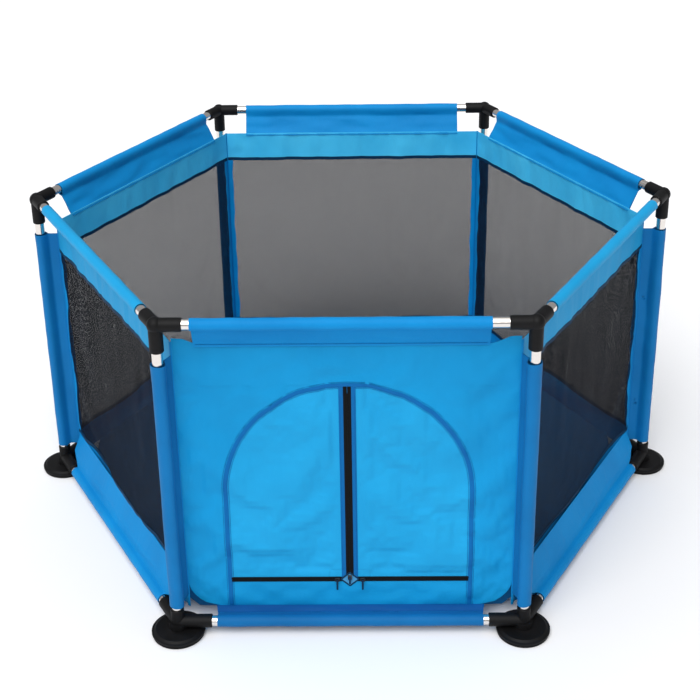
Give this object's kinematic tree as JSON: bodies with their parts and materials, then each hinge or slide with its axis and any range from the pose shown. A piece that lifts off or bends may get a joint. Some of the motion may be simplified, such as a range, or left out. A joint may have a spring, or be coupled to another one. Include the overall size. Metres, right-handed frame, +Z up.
{
  "type": "playpen",
  "caption": "Hexagonal free-standing playpen: steel tube frame, plastic corner fittings, blue cloth cover with mesh windows and a zipped arched door.",
  "frame": {"origin": "centre of the playpen on the floor", "axes": "+Z up; -Y towards the side with the door; +X to the right, seen from outside the door"},
  "size_m": [1.38, 1.2082, 0.66],
  "materials": {
    "steel_tube": "plated, polished",
    "black_plastic": "moulded, fine satin grain",
    "black_rubber": "soft, matt",
    "blue_cloth": "coated plain weave",
    "mesh_cloth": "open knitted net",
    "navy_tape": "ribbed binding tape",
    "dark_blue_tape": "folded binding, stitched",
    "zip_tape": "woven zip tape with coil",
    "zip_metal": "die cast, lacquered",
    "pull_webbing": "narrow woven tab",
    "patch_cloth": "plain weave with piped edge"
  },
  "bodies": {
    "frame": {"arch_binding": "dark_blue_tape", "bottom_bands": "blue_cloth", "bottom_corner_front_left": "black_plastic", "bottom_corner_front_right": "black_plastic", "bottom_corner_left": "black_plastic", "bottom_corner_rear_left": "black_plastic", "bottom_corner_rear_right": "black_plastic", "bottom_corner_right": "black_plastic", "bottom_rail_front": "steel_tube", "bottom_rail_front_left": "steel_tube", "bottom_rail_front_right": "steel_tube", "bottom_rail_rear": "steel_tube", "bottom_rail_rear_left": "steel_tube", "bottom_rail_rear_right": "steel_tube", "bottom_rail_sleeves": "blue_cloth", "floor_margins": "blue_cloth", "floor_panel": "blue_cloth", "foot_bases": "black_plastic", "front_panel": "blue_cloth", "mesh_bindings": "navy_tape", "mesh_window_front_left": "mesh_cloth", "mesh_window_front_right": "mesh_cloth", "mesh_window_rear": "mesh_cloth", "mesh_window_rear_left": "mesh_cloth", "mesh_window_rear_right": "mesh_cloth", "post_front_left": "steel_tube", "post_front_right": "steel_tube", "post_left": "steel_tube", "post_rear_left": "steel_tube", "post_rear_right": "steel_tube", "post_right": "steel_tube", "post_sleeves": "blue_cloth", "sill_zip_tape": "zip_tape", "suction_pads": "black_rubber", "top_bands": "blue_cloth", "top_corner_front_left": "black_plastic", "top_corner_front_right": "black_plastic", "top_corner_left": "black_plastic", "top_corner_rear_left": "black_plastic", "top_corner_rear_right": "black_plastic", "top_corner_right": "black_plastic", "top_rail_front": "steel_tube", "top_rail_front_left": "steel_tube", "top_rail_front_right": "steel_tube", "top_rail_rear": "steel_tube", "top_rail_rear_left": "steel_tube", "top_rail_rear_right": "steel_tube", "top_rail_sleeves": "blue_cloth", "zip_patch": "patch_cloth"},
    "door_leaf_left": {"door_leaf_left": "blue_cloth", "leaf_zip_tape_left": "zip_tape"},
    "door_leaf_right": {"door_leaf_right": "blue_cloth", "leaf_zip_tape_right": "zip_tape"},
    "zip_slider_centre": {"zip_slider_centre": "zip_metal"},
    "zip_pull_centre": {"zip_pull_centre": "pull_webbing"},
    "zip_slider_left": {"zip_slider_left": "zip_metal"},
    "zip_pull_left": {"zip_pull_left": "pull_webbing"},
    "zip_slider_right": {"zip_slider_right": "zip_metal"},
    "zip_pull_right": {"zip_pull_right": "pull_webbing"}
  },
  "joints": [
    {"name": "door_left_fold", "type": "hinge", "parent": "frame", "child": "door_leaf_left", "pos_m": [0, -0.52308, 0.5], "axis": [-0.4681, 0, -0.8837], "range_deg": [0, 150]},
    {"name": "door_right_fold", "type": "hinge", "parent": "frame", "child": "door_leaf_right", "pos_m": [0, -0.52308, 0.5], "axis": [-0.4681, 0, 0.8837], "range_deg": [0, 150]},
    {"name": "centre_zip_slide", "type": "slide", "parent": "frame", "child": "zip_slider_centre", "axis": [0, 0, 1], "range_m": [0, 0.4065]},
    {"name": "left_zip_slide", "type": "slide", "parent": "frame", "child": "zip_slider_left", "axis": [-1, 0, 0], "range_m": [0, 0.198]},
    {"name": "right_zip_slide", "type": "slide", "parent": "frame", "child": "zip_slider_right", "axis": [1, 0, 0], "range_m": [0, 0.198]},
    {"name": "centre_pull_swing", "type": "hinge", "parent": "zip_slider_centre", "child": "zip_pull_centre", "pos_m": [0, -0.52988, 0.103], "axis": [-1, 0, 0], "range_deg": [0, 110]},
    {"name": "left_pull_swing", "type": "hinge", "parent": "zip_slider_left", "child": "zip_pull_left", "pos_m": [-0.0235, -0.52988, 0.096], "axis": [-1, 0, 0], "range_deg": [0, 110]},
    {"name": "right_pull_swing", "type": "hinge", "parent": "zip_slider_right", "child": "zip_pull_right", "pos_m": [0.0235, -0.52988, 0.096], "axis": [-1, 0, 0], "range_deg": [0, 110]}
  ]
}
